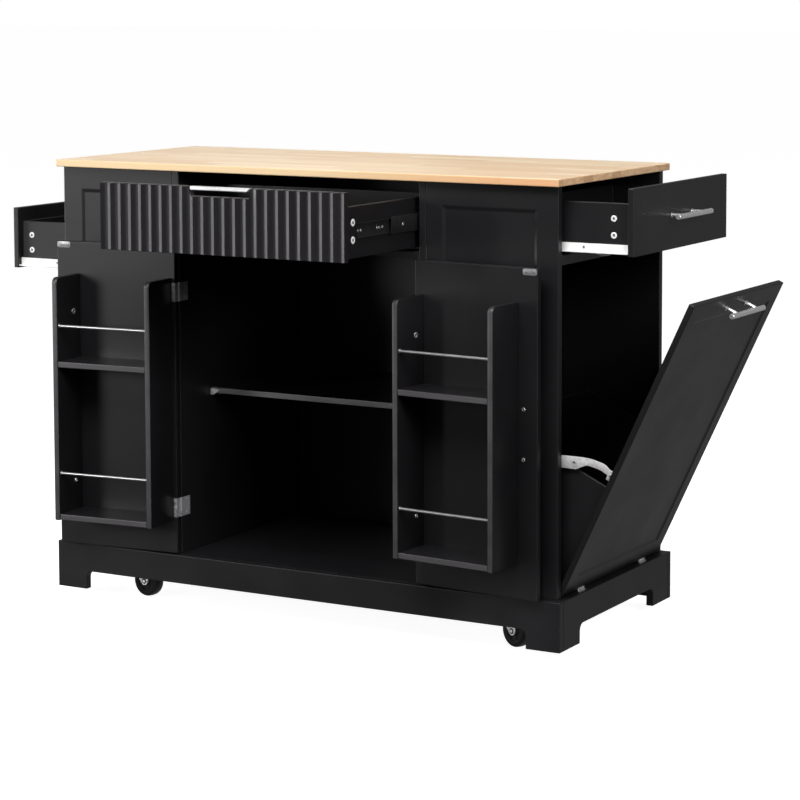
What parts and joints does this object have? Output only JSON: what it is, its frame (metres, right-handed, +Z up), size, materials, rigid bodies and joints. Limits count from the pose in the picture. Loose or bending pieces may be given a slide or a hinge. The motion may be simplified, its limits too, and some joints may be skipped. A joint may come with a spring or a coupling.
{
  "type": "kitchen island cart",
  "caption": "Rolling kitchen island cart with a rubberwood worktop, a fluted drawer, doors with spice racks, end drawers and a tilt-out bin, shown open.",
  "frame": {"origin": "centre of the bounding box of the opened cart, on the floor", "axes": "+Z up, +X to the right along the front towards the tilt-out bin, +Y from the doors to the back panel"},
  "size_m": [1.6274, 0.7674, 0.92],
  "materials": {
    "black_painted_board": "satin black paint on MDF board",
    "charcoal_fluted_board": "satin charcoal paint on a fluted MDF front",
    "rubberwood": "clear-oiled butcher-block rubberwood",
    "brushed_steel": "brushed",
    "zinc_plated_steel": "bright zinc plated",
    "white_epoxy_steel": "white epoxy coated",
    "black_slide_steel": "black zinc plated",
    "caster_wheel": "black moulded wheel"
  },
  "bodies": {
    "cabinet": {"worktop": "rubberwood", "back_panel": "black_painted_board", "front_panel_left": "black_painted_board", "front_panel_right": "black_painted_board", "partition_left": "black_painted_board", "partition_right": "black_painted_board", "bottom_deck": "black_painted_board", "centre_drawer_rail": "black_painted_board", "centre_shelf": "black_painted_board", "left_end_apron": "black_painted_board", "left_divider": "black_painted_board", "left_shelf": "black_painted_board", "right_drawer_rail": "black_painted_board", "plinth_front": "black_painted_board", "plinth_back": "black_painted_board", "plinth_left": "black_painted_board", "plinth_right": "black_painted_board"},
    "centre_drawer": {"centre_drawer_front": "charcoal_fluted_board", "centre_drawer_pull": "brushed_steel", "centre_drawer_box": "black_painted_board", "centre_slide_left": "black_slide_steel", "centre_slide_right": "black_slide_steel"},
    "left_drawer": {"left_drawer_front": "black_painted_board", "left_drawer_box": "black_painted_board", "left_slide_front": "white_epoxy_steel", "left_slide_back": "white_epoxy_steel", "left_drawer_handle": "brushed_steel"},
    "right_drawer": {"right_drawer_front": "black_painted_board", "right_drawer_box": "black_painted_board", "right_slide_front": "white_epoxy_steel", "right_slide_back": "white_epoxy_steel", "right_drawer_handle": "brushed_steel"},
    "left_door": {"left_door_panel": "black_painted_board", "left_door_handle": "brushed_steel", "left_rack_hinge_side": "black_painted_board", "left_rack_free_side": "black_painted_board", "left_rack_bottom_shelf": "black_painted_board", "left_rack_middle_shelf": "black_painted_board", "left_rack_lower_rail": "brushed_steel", "left_rack_upper_rail": "brushed_steel"},
    "right_door": {"right_door_panel": "black_painted_board", "right_door_handle": "brushed_steel", "right_rack_hinge_side": "black_painted_board", "right_rack_free_side": "black_painted_board", "right_rack_bottom_shelf": "black_painted_board", "right_rack_middle_shelf": "black_painted_board", "right_rack_lower_rail": "brushed_steel", "right_rack_upper_rail": "brushed_steel"},
    "bin": {"bin_door": "black_painted_board", "bin_door_handle": "brushed_steel", "bin_box": "black_painted_board", "bin_stay": "zinc_plated_steel"},
    "caster_front_left_swivel": {"caster_front_left_fork": "zinc_plated_steel"},
    "caster_front_left_roller": {"caster_front_left_wheel": "caster_wheel"},
    "caster_back_left_swivel": {"caster_back_left_fork": "zinc_plated_steel"},
    "caster_back_left_roller": {"caster_back_left_wheel": "caster_wheel"},
    "caster_front_right_swivel": {"caster_front_right_fork": "zinc_plated_steel"},
    "caster_front_right_roller": {"caster_front_right_wheel": "caster_wheel"},
    "caster_back_right_swivel": {"caster_back_right_fork": "zinc_plated_steel"},
    "caster_back_right_roller": {"caster_back_right_wheel": "caster_wheel"}
  },
  "joints": [
    {"name": "centre_drawer_slide", "type": "slide", "parent": "cabinet", "child": "centre_drawer", "axis": [0, -1, 0], "range_m": [-0.2725, 0.0575]},
    {"name": "left_drawer_slide", "type": "slide", "parent": "cabinet", "child": "left_drawer", "axis": [-1, 0, 0], "range_m": [-0.1475, 0.0325]},
    {"name": "right_drawer_slide", "type": "slide", "parent": "cabinet", "child": "right_drawer", "axis": [1, 0, 0], "range_m": [-0.1475, 0.0325]},
    {"name": "left_door_hinge", "type": "hinge", "parent": "cabinet", "child": "left_door", "pos_m": [-0.34368, -0.11325, 0.435], "axis": [0, 0, 1], "range_deg": [0, 175]},
    {"name": "right_door_hinge", "type": "hinge", "parent": "cabinet", "child": "right_door", "pos_m": [0.22032, -0.11325, 0.435], "axis": [0, 0, 1], "range_deg": [-175, 0]},
    {"name": "bin_hinge", "type": "hinge", "parent": "cabinet", "child": "bin", "pos_m": [0.52382, 0.12675, 0.1165], "axis": [0, 1, 0], "range_deg": [-25.3, 0]},
    {"name": "caster_front_left_swivel_joint", "type": "hinge", "parent": "cabinet", "child": "caster_front_left_swivel", "pos_m": [-0.49568, -0.05225, 0.08], "axis": [0, 0, 1], "continuous": true},
    {"name": "caster_front_left_wheel_joint", "type": "hinge", "parent": "caster_front_left_swivel", "child": "caster_front_left_roller", "pos_m": [-0.46795, -0.05615, 0.033], "axis": [0.1392, 0.9903, 0], "continuous": true},
    {"name": "caster_back_left_swivel_joint", "type": "hinge", "parent": "cabinet", "child": "caster_back_left_swivel", "pos_m": [-0.49568, 0.30575, 0.08], "axis": [0, 0, 1], "continuous": true},
    {"name": "caster_back_left_wheel_joint", "type": "hinge", "parent": "caster_back_left_swivel", "child": "caster_back_left_roller", "pos_m": [-0.46795, 0.30185, 0.033], "axis": [0.1392, 0.9903, 0], "continuous": true},
    {"name": "caster_front_right_swivel_joint", "type": "hinge", "parent": "cabinet", "child": "caster_front_right_swivel", "pos_m": [0.38432, -0.05225, 0.08], "axis": [0, 0, 1], "continuous": true},
    {"name": "caster_front_right_wheel_joint", "type": "hinge", "parent": "caster_front_right_swivel", "child": "caster_front_right_roller", "pos_m": [0.41046, -0.06228, 0.033], "axis": [0.3584, 0.9336, 0], "continuous": true},
    {"name": "caster_back_right_swivel_joint", "type": "hinge", "parent": "cabinet", "child": "caster_back_right_swivel", "pos_m": [0.38432, 0.30575, 0.08], "axis": [0, 0, 1], "continuous": true},
    {"name": "caster_back_right_wheel_joint", "type": "hinge", "parent": "caster_back_right_swivel", "child": "caster_back_right_roller", "pos_m": [0.41046, 0.29572, 0.033], "axis": [0.3584, 0.9336, 0], "continuous": true}
  ]
}
